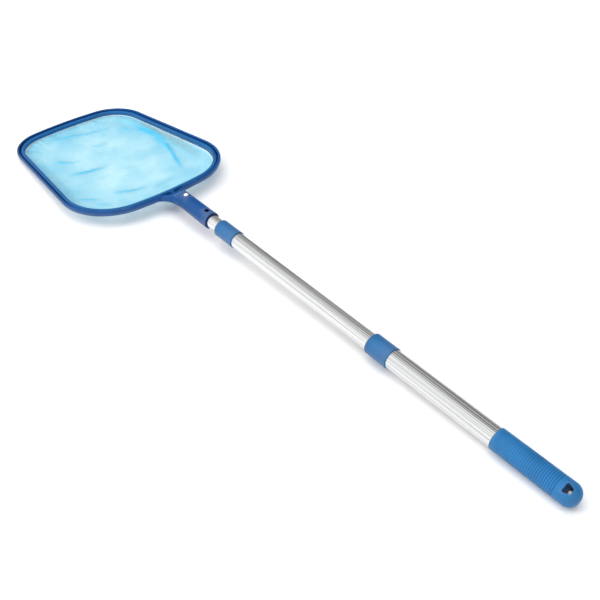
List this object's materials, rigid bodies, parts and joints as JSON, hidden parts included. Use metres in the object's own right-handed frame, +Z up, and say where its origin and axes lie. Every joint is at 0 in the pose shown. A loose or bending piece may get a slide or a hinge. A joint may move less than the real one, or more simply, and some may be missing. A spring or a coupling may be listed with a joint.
{
  "type": "leaf skimmer net",
  "caption": "Flat rounded net head clipped to a telescopic fluted pole with twist-lock sections and a ribbed hanging grip.",
  "frame": {"origin": "middle of the footprint, on the floor that the far edge of the head and the end of the grip rest on", "axes": "+X along the pole towards the grip, +Z up, +Y across the head"},
  "size_m": [1.0108, 0.2592, 0.0425],
  "materials": {
    "frame_plastic": "moulded royal blue plastic, satin",
    "collar_plastic": "moulded bright blue plastic, satin",
    "grip_plastic": "moulded soft blue plastic, fine ring ribs",
    "aluminium": "drawn and fluted, bright satin",
    "net_mesh": "fine light blue mesh, slack, partly see-through",
    "hem_mesh": "doubled edge of the mesh",
    "clip_plastic": "moulded white plastic",
    "cam_plastic": "moulded grey nylon"
  },
  "bodies": {
    "handle": {"outer_tube": "aluminium", "grip": "grip_plastic", "lower_collar": "collar_plastic"},
    "lower_ring": {"lower_cam_ring": "cam_plastic"},
    "middle_section": {"middle_tube": "aluminium", "upper_collar": "collar_plastic", "lower_cam_spindle": "cam_plastic"},
    "upper_ring": {"upper_cam_ring": "cam_plastic"},
    "head_section": {"inner_tube": "aluminium", "upper_cam_spindle": "cam_plastic", "head_frame": "frame_plastic", "net_clamp_ring": "frame_plastic", "net_hem": "hem_mesh", "net": "net_mesh", "clip_spring": "clip_plastic"},
    "top_button": {"clip_button_top": "clip_plastic"},
    "bottom_button": {"clip_button_bottom": "clip_plastic"}
  },
  "joints": [
    {"name": "lower_slide", "type": "slide", "parent": "handle", "child": "lower_ring", "axis": [0.9997, 0, -0.0241], "range_m": [0, 0.215]},
    {"name": "lower_twist", "type": "hinge", "parent": "lower_ring", "child": "middle_section", "pos_m": [0.2467, 0, 0.0201], "axis": [0.9997, 0, -0.0241], "range_deg": [-90, 90]},
    {"name": "upper_slide", "type": "slide", "parent": "middle_section", "child": "upper_ring", "axis": [-0.9997, 0, 0.0241], "range_m": [-0.015, 0.245]},
    {"name": "upper_twist", "type": "hinge", "parent": "upper_ring", "child": "head_section", "pos_m": [0.19671, 0, 0.0213], "axis": [0.9997, 0, -0.0241], "range_deg": [-90, 90]},
    {"name": "top_button_press", "type": "slide", "parent": "head_section", "child": "top_button", "axis": [-0.0241, 0, -0.9997], "range_m": [0, 0.003], "stiffness_N_per_m": 2500, "springref_m": -0.0005, "deforming": ["clip_spring"]},
    {"name": "bottom_button_press", "type": "slide", "parent": "head_section", "child": "bottom_button", "axis": [0.0241, 0, 0.9997], "range_m": [0, 0.003], "stiffness_N_per_m": 2500, "springref_m": -0.0005, "deforming": ["clip_spring"]}
  ]
}
